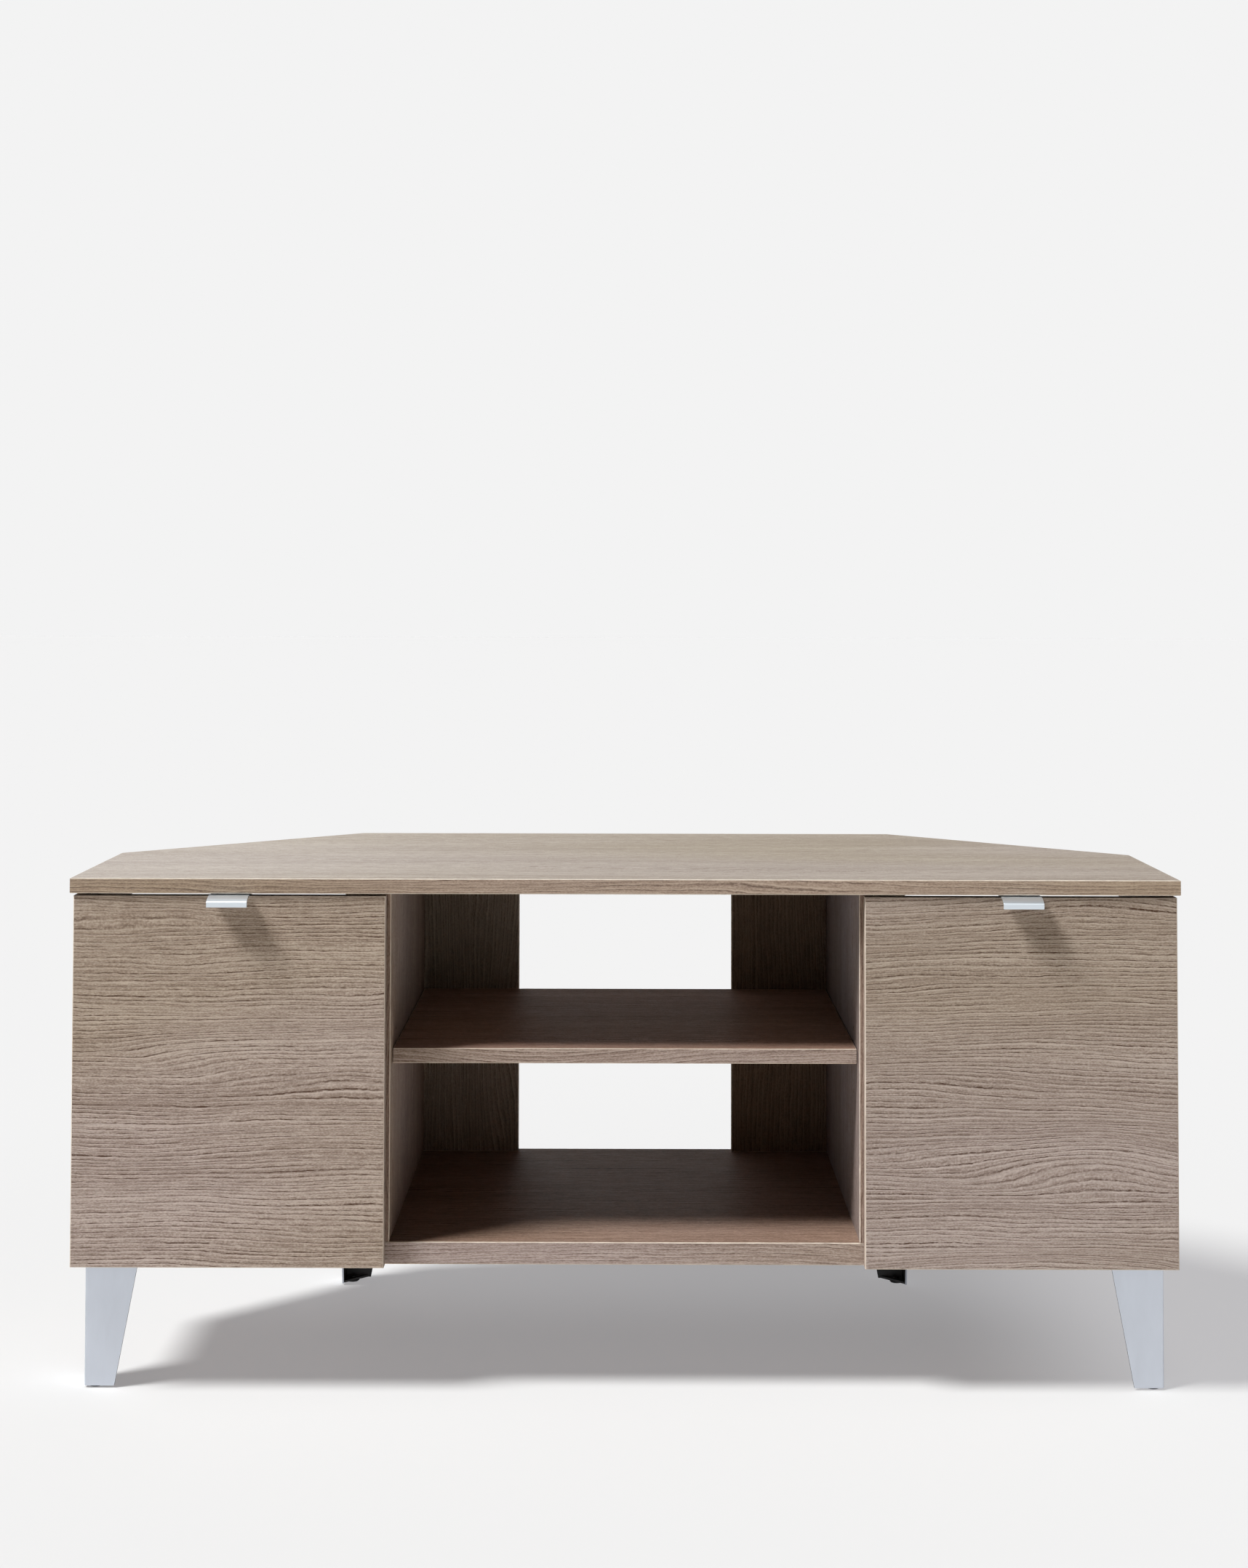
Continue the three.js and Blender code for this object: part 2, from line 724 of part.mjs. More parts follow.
const cabinet = new THREE.Group();
place(cabinet, 'top_panel', makeTopPanel(), finishes.oak);
place(cabinet, 'bottom_panel', makeBottomPanel(), finishes.oak);
place(cabinet, 'centre_shelf', makeShelf(), finishes.oak);
for (const [side, sign] of sides) {
  const half = new THREE.Group();
  half.scale.x = sign;
  addSide(half, side);
  cabinet.add(half);
}
cabinet.position.y = -middleDepth;

const part = new THREE.Group();
part.add(cabinet);

export default part;
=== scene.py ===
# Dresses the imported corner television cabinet: oak-effect boards, bent silver legs, edge pulls,
# concealed hinges and their fixings, in a plain pale studio. Metres, in the CAD model's frame.
import json
import math

import bmesh
import bpy
from mathutils import Matrix, Vector

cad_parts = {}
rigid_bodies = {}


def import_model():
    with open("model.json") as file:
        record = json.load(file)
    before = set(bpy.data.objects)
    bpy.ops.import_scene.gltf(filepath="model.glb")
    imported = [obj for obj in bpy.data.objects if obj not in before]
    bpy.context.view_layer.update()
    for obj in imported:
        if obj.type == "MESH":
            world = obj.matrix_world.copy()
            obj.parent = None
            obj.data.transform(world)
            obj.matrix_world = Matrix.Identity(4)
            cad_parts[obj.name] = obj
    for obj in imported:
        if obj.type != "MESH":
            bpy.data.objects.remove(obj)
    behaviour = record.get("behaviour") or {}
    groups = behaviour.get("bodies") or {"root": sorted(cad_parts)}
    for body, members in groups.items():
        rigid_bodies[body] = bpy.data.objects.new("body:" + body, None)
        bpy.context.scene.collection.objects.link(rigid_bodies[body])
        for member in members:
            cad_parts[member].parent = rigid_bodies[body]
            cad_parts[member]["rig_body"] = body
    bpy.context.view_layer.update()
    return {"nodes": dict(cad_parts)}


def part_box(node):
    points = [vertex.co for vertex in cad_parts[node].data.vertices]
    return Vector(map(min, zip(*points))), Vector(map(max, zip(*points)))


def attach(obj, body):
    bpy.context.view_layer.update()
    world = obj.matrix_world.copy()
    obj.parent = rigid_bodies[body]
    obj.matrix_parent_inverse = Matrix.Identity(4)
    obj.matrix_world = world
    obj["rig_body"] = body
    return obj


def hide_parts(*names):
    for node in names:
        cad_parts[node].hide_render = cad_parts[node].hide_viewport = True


mm = 0.001
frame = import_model()
nodes = frame["nodes"]
sides = {"left": -1, "right": 1}
axisVectors = {"X": (1, 0, 0), "Y": (0, 1, 0), "Z": (0, 0, 1)}


# Adds a node, sets its properties, and sets or links its inputs by name or number
def add(tree, kind, inputs=None, **settings):
    node = tree.nodes.new(kind)
    for key, value in settings.items():
        setattr(node, key, value)
    for key, value in (inputs or {}).items():
        if isinstance(value, bpy.types.NodeSocket):
            tree.links.new(value, node.inputs[key])
        else:
            node.inputs[key].default_value = value
    return node


def calc(tree, operation, *values, clamp=False):
    node = add(tree, "ShaderNodeMath", dict(enumerate(values)), operation=operation, use_clamp=clamp)
    return node.outputs[0]


def vectorCalc(tree, operation, *values):
    node = add(tree, "ShaderNodeVectorMath", dict(enumerate(values)), operation=operation)
    scalar = operation in ("DOT_PRODUCT", "LENGTH", "DISTANCE")
    return node.outputs["Value" if scalar else "Vector"]


def remap(tree, value, fromLow, fromHigh, toLow=0.0, toHigh=1.0, smooth=False):
    node = add(tree, "ShaderNodeMapRange", {0: value, 1: fromLow, 2: fromHigh, 3: toLow, 4: toHigh})
    if smooth:
        node.interpolation_type = "SMOOTHSTEP"
    return node.outputs[0]


def combine(tree, x, y, z):
    return add(tree, "ShaderNodeCombineXYZ", {0: x, 1: y, 2: z}).outputs[0]


def noise(tree, vector, scale=1.0, detail=2.0, roughness=0.5):
    settings = {"Vector": vector, "Scale": scale, "Detail": detail, "Roughness": roughness}
    return add(tree, "ShaderNodeTexNoise", settings).outputs[0]


def mixColours(tree, factor, first, second, blend="MIX"):
    node = add(tree, "ShaderNodeMix", data_type="RGBA", blend_type=blend)
    for index, value in ((0, factor), (6, first), (7, second)):
        if isinstance(value, bpy.types.NodeSocket):
            tree.links.new(value, node.inputs[index])
        else:
            node.inputs[index].default_value = value
    return node.outputs[2]


def rgb(red, green, blue):
    # A colour as it reads on the screen, from 0 to 255, turned linear
    def linear(value):
        value /= 255
        return value / 12.92 if value <= 0.04045 else ((value + 0.055) / 1.055) ** 2.4
    return (linear(red), linear(green), linear(blue), 1.0)


def startMaterial(name):
    material = bpy.data.materials.new(name)
    material.use_nodes = True
    tree = material.node_tree
    tree.nodes.clear()
    output = add(tree, "ShaderNodeOutputMaterial")
    return material, tree, output


# Oak-effect print: what the boards' melamine shows. A noise is given as its scale along the grain,
# its scale across it, and how far it lies from the board's seed
oakPrint = {
    "light": rgb(199, 183, 170),
    "middle": rgb(178, 160, 147),
    "shade": rgb(153, 135, 122),
    "line": rgb(78, 52, 38),
    "rim": rgb(224, 209, 196),
    "driftLow": (0.95, 0.94, 0.88, 1.0),
    "driftHigh": (1.04, 1.045, 1.09, 1.0),
    # Pale core of the eased edges, together with a painted edge highlight
    "arris": rgb(228, 218, 204),
    "faceFrom": 0.97,  # how squarely a surface looks along the thickness
    "bandTo": 0.2,
    "bandShift": 0.37,  # keeps a band's print apart from its face's
    "waves": (
        {"amount": 0.034, "noise": (2.6, 13, 0)},
        {"amount": 0.006, "noise": (11, 40, 3)},
        {"amount": 0.0015, "noise": (90, 160, 5)},
    ),
    "figure": {"rise": 0.012, "from": 0.52, "to": 0.72, "noise": (2.6, 10, 80.5)},
    "wideRings": {"gap": 4.3 * mm, "unevenness": 2.0, "width": 0.3, "shift": 11},
    "fineRings": {"gap": 1.9 * mm, "unevenness": 2.2, "width": 0.5, "shift": 17},
    "ringWobble": (1.5, 0.4),  # along the grain a metre, and from ring to ring
    "ringStretch": (9, 5.7),  # the same, for how strong a ring is
    "ringStrength": (0.22, 0.6),
    "ringRise": 0.3,
    "ringFall": 0.5,
    "rimRise": (0.8, 1.3),
    "rimFall": (1.4, 2.2),
    "rimInk": 0.55,
    "fineInk": 0.4,
    "bandInk": 0.7,
    "dashes": (110, 900, 9),
    "dashRange": (0.41, 0.55, 0.2, 1.0),
    "bands": (1.6, 26, 23),
    "fibres": (44, 520, 29),
    "flecks": (420, 900, 31),
    "drift": (1.3, 4, 37),
    "driftRange": (0.35, 0.65),
    "bandShare": 0.5,
    "fibreShare": 0.9,
    "fleckShare": 0.75,
    "shadeRange": (0.9, 1.25),
    "rubScale": 90,
    "rubRange": (0.3, 0.7, 0.55, 0.95),
    "lineRoughness": 0.2,
    "fibreRoughness": (0.35, 0.65, 0.62, 0.46),
    "fibreHeight": 0.5,
    "grainDepth": 0.08 * mm,
    "grainStrength": 0.6,
}


# One group makes the print on faces and edge bands from a point, a normal and the board's axes
def makeOakGroup(values):
    group = bpy.data.node_groups.new("oakPrint", "ShaderNodeTree")
    inputs = {
        "Position": "NodeSocketVector",
        "Normal": "NodeSocketVector",
        "Thickness Axis": "NodeSocketVector",
        "Grain Axis": "NodeSocketVector",
        "Seed": "NodeSocketFloat",
        "Tone": "NodeSocketColor",
        "Band Tone": "NodeSocketColor",
        "Line Strength": "NodeSocketFloat",
    }
    for name, kind in inputs.items():
        group.interface.new_socket(name=name, in_out="INPUT", socket_type=kind)
    for name, kind in {"Color": "Color", "Roughness": "Float", "Height": "Float"}.items():
        group.interface.new_socket(name=name, in_out="OUTPUT", socket_type="NodeSocket" + kind)
    given = add(group, "NodeGroupInput").outputs
    point, normal, seed = given["Position"], given["Normal"], given["Seed"]
    thick, grain = given["Thickness Axis"], given["Grain Axis"]

    # Faces run along the grain axis, and edge bands run along their own edge
    facing = calc(group, "ABSOLUTE", vectorCalc(group, "DOT_PRODUCT", normal, thick))
    onFace = calc(group, "GREATER_THAN", facing, values["faceFrom"])
    onBand = calc(group, "LESS_THAN", facing, values["bandTo"])
    onArris = calc(group, "SUBTRACT", calc(group, "SUBTRACT", 1.0, onFace), onBand, clamp=True)
    tangent = vectorCalc(group, "NORMALIZE", vectorCalc(group, "CROSS_PRODUCT", thick, normal))
    across = vectorCalc(group, "CROSS_PRODUCT", thick, grain)
    alongFace = vectorCalc(group, "DOT_PRODUCT", point, grain)
    acrossFace = vectorCalc(group, "DOT_PRODUCT", point, across)
    alongBand = vectorCalc(group, "DOT_PRODUCT", point, tangent)
    acrossBand = calc(group, "ADD", vectorCalc(group, "DOT_PRODUCT", point, thick), values["bandShift"])
    along = add(group, "ShaderNodeMix", {0: onFace, 2: alongBand, 3: alongFace}).outputs[0]
    plain = add(group, "ShaderNodeMix", {0: onFace, 2: acrossBand, 3: acrossFace}).outputs[0]

    def grainNoise(scales, acrossValue, detail=2.0, roughness=0.5):
        alongScale, acrossScale, shift = scales
        place = combine(
            group,
            calc(group, "MULTIPLY", along, alongScale),
            calc(group, "MULTIPLY", acrossValue, acrossScale),
            calc(group, "ADD", seed, shift),
        )
        return noise(group, place, detail=detail, roughness=roughness)

    # The grain wanders slowly over a hand's width and trembles over a finger's
    def wander(value, wave):
        drift = grainNoise(wave["noise"], value, detail=1.5)
        return calc(group, "MULTIPLY_ADD", calc(group, "SUBTRACT", drift, 0.5), wave["amount"], value)

    # Here and there, the rings also rise into a long arched figure
    slowWave, midWave, fastWave = values["waves"]
    figure = values["figure"]
    bent = wander(plain, slowWave)
    swelling = grainNoise(figure["noise"], bent, detail=0)
    swelling = remap(group, swelling, figure["from"], figure["to"], 0.0, figure["rise"], smooth=True)
    bent = wander(calc(group, "ADD", bent, swelling), midWave)
    bent = wander(bent, fastWave)

    # Thin dark lines, one for each ring, that differ in strength, with a pale rim behind each
    def rings(gap, unevenness, width, shift):
        wobbleAlong, wobbleAcross = values["ringWobble"]
        uneven = grainNoise((wobbleAlong, wobbleAcross / gap, shift), bent)
        uneven = calc(group, "MULTIPLY", uneven, unevenness)
        count = calc(group, "ADD", calc(group, "DIVIDE", bent, gap), uneven)
        stretchAlong, stretchStep = values["ringStretch"]
        own = combine(
            group,
            calc(group, "MULTIPLY", along, stretchAlong),
            calc(group, "MULTIPLY", calc(group, "FLOOR", count), stretchStep),
            calc(group, "ADD", seed, shift + 1),
        )
        strength = remap(group, noise(group, own, detail=3), *values["ringStrength"])
        inside = calc(group, "FRACT", count)
        rise = remap(group, inside, 0.0, width * values["ringRise"])
        fall = remap(group, inside, width * values["ringFall"], width, 1.0, 0.0)
        dark = calc(group, "MULTIPLY", calc(group, "MULTIPLY", rise, fall), strength)
        swell = remap(group, inside, *[width * share for share in values["rimRise"]])
        fade = remap(group, inside, *[width * share for share in values["rimFall"]], 1.0, 0.0)
        pale = calc(group, "MULTIPLY", calc(group, "MULTIPLY", swell, fade), strength)
        return dark, pale

    dashes = grainNoise(values["dashes"], bent, detail=3, roughness=0.75)
    broken = remap(group, dashes, *values["dashRange"])
    wide, rim = rings(**values["wideRings"])
    fine, _ = rings(**values["fineRings"])
    lines = calc(group, "MULTIPLY_ADD", fine, values["fineInk"], wide, clamp=True)
    lines = calc(group, "MULTIPLY", lines, broken)

    # The ground between the lines: broad bands, fibres and flecks
    bands = grainNoise(values["bands"], bent, detail=4, roughness=0.62)
    fibres = grainNoise(values["fibres"], bent, detail=4, roughness=0.75)
    flecks = grainNoise(values["flecks"], bent)
    shade = calc(group, "MULTIPLY", bands, values["bandShare"])
    shade = calc(group, "MULTIPLY_ADD", flecks, values["fleckShare"], shade)
    shade = calc(group, "MULTIPLY_ADD", fibres, values["fibreShare"], shade)
    ramp = add(group, "ShaderNodeValToRGB", {0: remap(group, shade, *values["shadeRange"])})
    stops = ramp.color_ramp.elements
    stops[0].position, stops[0].color = 0.0, values["shade"]
    stops[1].position, stops[1].color = 1.0, values["light"]
    stops.new(0.5).color = values["middle"]
    pale = calc(group, "MULTIPLY", rim, values["rimInk"])
    colour = mixColours(group, pale, ramp.outputs[0], values["rim"])
    inked = calc(group, "MULTIPLY", lines, remap(group, onBand, 0.0, 1.0, 1.0, values["bandInk"]))
    inked = calc(group, "MULTIPLY", inked, given["Line Strength"])
    colour = mixColours(group, inked, colour, values["line"])
    drift = remap(group, grainNoise(values["drift"], plain, detail=1), *values["driftRange"])
    drift = mixColours(group, drift, values["driftLow"], values["driftHigh"])
    colour = mixColours(group, 1.0, colour, drift, "MULTIPLY")
    # The board's tone on faces and bands multiplies the print; it holds painted shade as well as the
    # print's own tone
    tone = mixColours(group, onBand, given["Tone"], given["Band Tone"])
    colour = mixColours(group, 1.0, colour, tone, "MULTIPLY")

    # The eased edge shows the band's pale core and a painted edge highlight, varied a little along its
    # length
    paleEdgeNoise = noise(group, point, scale=values["rubScale"], detail=3)
    paleCoreAndHighlight = calc(group, "MULTIPLY", onArris, remap(group, paleEdgeNoise, *values["rubRange"]))
    colour = mixColours(group, paleCoreAndHighlight, colour, values["arris"])

    roughness = remap(group, fibres, *values["fibreRoughness"])
    roughness = calc(group, "MULTIPLY_ADD", lines, values["lineRoughness"], roughness)
    height = calc(group, "MULTIPLY", lines, -1.0)
    height = calc(group, "MULTIPLY_ADD", fibres, values["fibreHeight"], height)
    add(group, "NodeGroupOutput", {"Color": colour, "Roughness": roughness, "Height": height})
    return group


def makeBoardMaterial(name, group, thickness, grain, seed, tone, band, gloss, lines=1.0):
    material, tree, output = startMaterial(name)
    normal = add(
        tree, "ShaderNodeVectorTransform",
        {0: add(tree, "ShaderNodeNewGeometry").outputs["True Normal"]},
        vector_type="NORMAL", convert_from="WORLD", convert_to="OBJECT")
    look = add(tree, "ShaderNodeGroup", node_tree=group)
    tree.links.new(add(tree, "ShaderNodeTexCoord").outputs["Object"], look.inputs["Position"])
    tree.links.new(normal.outputs[0], look.inputs["Normal"])
    look.inputs["Thickness Axis"].default_value = axisVectors[thickness]
    look.inputs["Grain Axis"].default_value = axisVectors[grain]
    look.inputs["Seed"].default_value = seed
    # Tone and band tone carry painted shade along with the print's tone
    look.inputs["Tone"].default_value = (*tone, 1)
    look.inputs["Band Tone"].default_value = (*band, 1)
    look.inputs["Line Strength"].default_value = lines
    bump = add(tree, "ShaderNodeBump", {
        "Height": look.outputs["Height"],
        "Distance": oakPrint["grainDepth"],
        "Strength": oakPrint["grainStrength"],
    })
    surface = add(tree, "ShaderNodeBsdfPrincipled", {
        "Base Color": look.outputs["Color"],
        "Roughness": look.outputs["Roughness"],
        "Normal": bump.outputs[0],
        "Specular IOR Level": gloss,
    })
    tree.links.new(surface.outputs[0], output.inputs[0])
    return material


# Metals and plastic: a colour, a roughness that varies, and a fine surface
finishes = {
    "silverCoat": {
        "colour": rgb(203, 208, 217), "metallic": 1.0, "roughness": (0.30, 0.40),
        "stretch": (60, 60, 18), "grainScale": 2600, "grainDepth": 0.004 * mm},
    "insideBlack": {
        "colour": rgb(22, 22, 21), "metallic": 0.0, "roughness": (0.30, 0.42),
        "stretch": (80, 80, 80), "grainScale": 1800, "grainDepth": 0.01 * mm},
    "pullMetal": {
        "colour": rgb(218, 225, 231), "metallic": 1.0, "roughness": (0.38, 0.46),
        "stretch": (14, 900, 900), "grainScale": 3000, "grainDepth": 0.003 * mm},
    "nickelPlate": {
        "colour": rgb(206, 203, 196), "metallic": 1.0, "roughness": (0.18, 0.32),
        "stretch": (220, 220, 220), "grainScale": 2400, "grainDepth": 0.004 * mm},
    "blackPlastic": {
        "colour": rgb(28, 28, 29), "metallic": 0.0, "roughness": (0.42, 0.58),
        "stretch": (300, 300, 300), "grainScale": 3500, "grainDepth": 0.02 * mm},
}
finishSpread = {"gloss": (0.3, 0.7), "shade": (0.25, 0.75, 0.95, 1.04), "grainStrength": 0.5}


def makeFinish(name):
    values = finishes[name]
    material, tree, output = startMaterial(name)
    place = add(tree, "ShaderNodeTexCoord").outputs["Object"]
    spread = vectorCalc(tree, "MULTIPLY", place, values["stretch"])
    cloud = noise(tree, spread, detail=4, roughness=0.55)
    grit = noise(tree, place, scale=values["grainScale"], detail=2)
    roughness = remap(tree, cloud, *finishSpread["gloss"], *values["roughness"])
    shade = combine(tree, *[remap(tree, cloud, *finishSpread["shade"])] * 3)
    colour = mixColours(tree, 1.0, values["colour"], shade, "MULTIPLY")
    bump = add(tree, "ShaderNodeBump", {
        "Height": grit,
        "Distance": values["grainDepth"],
        "Strength": finishSpread["grainStrength"],
    })
    surface = add(tree, "ShaderNodeBsdfPrincipled", {
        "Base Color": colour,
        "Metallic": values["metallic"],
        "Roughness": roughness,
        "Normal": bump.outputs[0],
    })
    tree.links.new(surface.outputs[0], output.inputs[0])
    return material


materials = {name: makeFinish(name) for name in finishes}
oakGroup = makeOakGroup(oakPrint)

# Boards: which way each one is thick, which way its grain runs, and its own stretch of print
# Each board's tone and band tone are its print's tone and also painted shade: the faces inside the bay,
# the partitions' front edges and the right back post are darkened where shade falls, the right door is
# painted darker than the left, and the top is darker and cooler against the strong light on it
boards = {
    "top_panel": {
        "thickness": "Z", "grain": "X", "seed": 3.1, "gloss": 0.6,
        "tone": (0.73, 0.77, 0.75), "band": (0.77, 0.73, 0.66)},
    "bottom_panel": {
        "thickness": "Z", "grain": "X", "seed": 9.4, "gloss": 0.1,
        "tone": (0.57, 0.48, 0.44), "band": (0.86, 0.87, 0.92)},
    "centre_shelf": {
        "thickness": "Z", "grain": "X", "seed": 14.2, "gloss": 0.03,
        "tone": (0.83, 0.66, 0.62), "band": (0.91, 0.91, 0.95)},
    "left_side_panel": {
        "thickness": "X", "grain": "Z", "seed": 21.5, "gloss": 0.2,
        "tone": (0.95, 0.99, 1.04), "band": (0.95, 0.99, 1.04)},
    "right_side_panel": {
        "thickness": "X", "grain": "Z", "seed": 27.8, "gloss": 0.2,
        "tone": (0.95, 0.99, 1.04), "band": (0.95, 0.99, 1.04)},
    "left_partition": {
        "thickness": "X", "grain": "Z", "seed": 33.3, "gloss": 0.08,
        "tone": (0.84, 0.81, 0.81), "band": (0.62, 0.56, 0.53)},
    "right_partition": {
        "thickness": "X", "grain": "Z", "seed": 38.6, "gloss": 0.05,
        "tone": (0.57, 0.57, 0.66), "band": (0.62, 0.56, 0.53)},
    "left_back_post": {
        "thickness": "Y", "grain": "Z", "seed": 44.1, "gloss": 0.06, "lines": 0.5,
        "tone": (0.68, 0.7, 0.66), "band": (0.86, 0.86, 0.86)},
    "right_back_post": {
        "thickness": "Y", "grain": "Z", "seed": 49.9, "gloss": 0.03, "lines": 0.5,
        "tone": (0.51, 0.455, 0.4), "band": (0.8, 0.8, 0.8)},
    "left_door": {
        "thickness": "Y", "grain": "X", "seed": 69.75, "gloss": 0.12,
        "tone": (0.96, 0.99, 1.02), "band": (0.98, 1.0, 1.03)},
    "right_door": {
        "thickness": "Y", "grain": "X", "seed": 54.0, "gloss": 0.12,
        "tone": (0.9, 0.935, 0.97), "band": (0.95, 0.97, 1.0)},
}
for board, values in boards.items():
    words = board.split("_")
    name = "oak" + "".join(word.capitalize() for word in words)
    material = makeBoardMaterial(name, oakGroup, **values)
    nodes[board].data.materials.clear()
    nodes[board].data.materials.append(material)
print("boards:", len(boards), "in oak-effect print")


def bodyOf(node):
    return nodes[node]["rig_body"]


def camel(node):
    words = node.split("_")
    return words[0] + "".join(word.capitalize() for word in words[1:])


# How sharp an edge has to be to stay sharp, and to be eased, and how many facets ease it
edges = {"sharpFrom": math.radians(38), "easeFrom": math.radians(40), "easeSteps": 2}


# Gives a finished mesh its object, body and smooth shading, and its finishes where it doesn't have
# them yet, and hides the nodes that it stands for
def finishPiece(name, mesh, body, stands, finish=()):
    piece = bpy.data.objects.new(name, mesh)
    bpy.context.scene.collection.objects.link(piece)
    for entry in finish:
        mesh.materials.append(materials[entry])
    for face in mesh.polygons:
        face.use_smooth = True
    mesh.set_sharp_from_angle(angle=edges["sharpFrom"])
    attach(piece, body)
    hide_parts(*stands)
    return piece


def easeEdges(piece, width):
    bevel = piece.modifiers.new("easedEdges", "BEVEL")
    bevel.width = width
    bevel.segments = edges["easeSteps"]
    bevel.limit_method = "ANGLE"
    bevel.angle_limit = edges["easeFrom"]
    bevel.harden_normals = True
    bevel.use_clamp_overlap = True


# Legs: a bent sheet that tapers on its free edges, with a lid and a sole welded in
leg = {
    "sheet": 2.0 * mm,
    "bend": 3.0 * mm,
    "footWidth": 30.0 * mm,
    "plate": 2.5 * mm,
    "bendSteps": 10,
    "weldBite": 0.3 * mm,
    "inset": 0.1 * mm,
    "edge": 0.35 * mm,
    "finishes": ["silverCoat", "insideBlack"],
}
silver, black = 0, 1  # places in the leg's finishes


def makeLegMesh(corner, inward, top, foot, edgeFinish, values):
    work = bmesh.new()
    bend, sheet, steps = values["bend"], values["sheet"], values["bendSteps"]

    def path(width, depth):
        # From one free edge round the bend to the other, at a depth into the sheet
        points = [(width, depth)]
        for step in range(steps + 1):
            turn = math.pi / 2 * step / steps
            radius = bend - depth
            points.append((bend - radius * math.sin(turn), bend - radius * math.cos(turn)))
        points.append((depth, width))
        return points

    def place(across, along, height):
        return work.verts.new((corner.x + inward.x * across, corner.y + inward.y * along, height))

    rows = []
    for height, width in ((foot, values["footWidth"]), (top, values["topWidth"])):
        outer = [place(a, b, height) for a, b in path(width, 0)]
        inner = [place(a, b, height) for a, b in path(width, sheet)]
        rows.append((outer, inner))
    (outerLow, innerLow), (outerHigh, innerHigh) = rows
    for a in range(len(outerLow) - 1):
        b = a + 1
        work.faces.new((outerLow[a], outerLow[b], outerHigh[b], outerHigh[a]))
        inside = work.faces.new((innerLow[b], innerLow[a], innerHigh[a], innerHigh[b]))
        ends = [
            work.faces.new((outerLow[b], outerLow[a], innerLow[a], innerLow[b])),
            work.faces.new((outerHigh[a], outerHigh[b], innerHigh[b], innerHigh[a])),
        ]
        for face in [inside] + ends:
            face.material_index = black
    # The cut edges take the given finish, which on the front legs is black as painted shade
    for a in (0, -1):
        edge = work.faces.new((outerLow[a], outerHigh[a], innerHigh[a], innerLow[a]))
        edge.material_index = edgeFinish

    def plate(width, low, high):
        near, far = sheet - values["weldBite"], width - sheet
        outline = [(near, near), (far, near), (near, far)]
        low = [place(a, b, low) for a, b in outline]
        high = [place(a, b, high) for a, b in outline]
        faces = [work.faces.new(low), work.faces.new(high)]
        for index in range(len(outline)):
            following = (index + 1) % len(outline)
            faces.append(work.faces.new((low[index], low[following], high[following], high[index])))
        for face in faces:
            face.material_index = black

    plate(values["footWidth"], foot + values["inset"], foot + values["plate"])
    plate(values["topWidth"], top - values["plate"], top - values["inset"])
    bmesh.ops.recalc_face_normals(work, faces=work.faces)
    mesh = bpy.data.meshes.new("legMesh")
    work.to_mesh(mesh)
    work.free()
    return mesh


for side, sign in sides.items():
    for corner in ("front", "rear"):
        node = f"{side}_{corner}_leg"
        low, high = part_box(node)
        point = Vector((high.x if sign > 0 else low.x, low.y if corner == "front" else high.y, 0))
        inward = Vector((-sign, 1 if corner == "front" else -1, 0))
        sizes = dict(leg, topWidth=high.x - low.x)
        # The front legs' cut edges are painted black as shade; the rear legs' cut edges show the silver
        # coat
        edgeFinish = black if corner == "front" else silver  # what the cut edges show
        mesh = makeLegMesh(point, inward, high.z, low.z, edgeFinish, sizes)
        name = camel(node) + "Sheet"
        piece = finishPiece(name, mesh, bodyOf(node), [node], leg["finishes"])
        easeEdges(piece, leg["edge"])
print("legs: 4 bent sheets")

# Edge pulls: one strip folded over the top edge of a door
pull = {
    "sheet": 1.2 * mm,
    "gap": 0.1 * mm,
    "reach": 18.0 * mm,
    "drop": 5.6 * mm,
    "crease": 1.2 * mm,
    "lip": 4.4 * mm,
    "tab": 14.0 * mm,
    "bend": 1.6 * mm,
    "edge": 0.22 * mm,
    "steps": 10,
}


def makePullMesh(left, right, door, values):
    back, front, top = door[1].y, door[0].y, door[1].z
    half = values["sheet"] / 2
    backLine = back + values["gap"] + half
    crown = top + values["gap"] + half
    slope = 2 * math.atan((values["drop"] - values["crease"]) / (values["reach"] - values["crease"]))
    sweep = values["crease"] + (values["reach"] - values["crease"]) / math.sin(slope)
    lipLine = front - values["reach"]

    def arc(y, z, radius, start, end):
        turns = [start + (end - start) * step / values["steps"] for step in range(values["steps"] + 1)]
        return [(y - radius * math.sin(turn), z + radius * math.cos(turn)) for turn in turns]

    def line(offset):
        bend, crease = values["bend"], values["crease"]
        return [
            (backLine + offset, top - values["tab"]),
            *arc(backLine - bend, crown - bend, bend + offset, -math.pi / 2, 0),
            *arc(front, crown - sweep, sweep + offset, 0, slope),
            *arc(lipLine + crease, crown - values["drop"], crease + offset, slope, math.pi / 2)[1:],
            (lipLine - offset, crown - values["drop"] - values["lip"]),
        ]

    work = bmesh.new()
    outer, inner = line(half), line(-half)
    rings = []
    for x in (left, right):
        rings.append((
            [work.verts.new((x, y, z)) for y, z in outer],
            [work.verts.new((x, y, z)) for y, z in inner],
        ))
    (outerLeft, innerLeft), (outerRight, innerRight) = rings
    for a in range(len(outer) - 1):
        b = a + 1
        work.faces.new((outerLeft[a], outerLeft[b], outerRight[b], outerRight[a]))
        work.faces.new((innerLeft[b], innerLeft[a], innerRight[a], innerRight[b]))
        work.faces.new((outerLeft[b], outerLeft[a], innerLeft[a], innerLeft[b]))
        work.faces.new((outerRight[a], outerRight[b], innerRight[b], innerRight[a]))
    for a in (0, -1):
        work.faces.new((outerLeft[a], outerRight[a], innerRight[a], innerLeft[a]))
    bmesh.ops.recalc_face_normals(work, faces=work.faces)
    mesh = bpy.data.meshes.new("pullMesh")
    work.to_mesh(mesh)
    work.free()
    return mesh


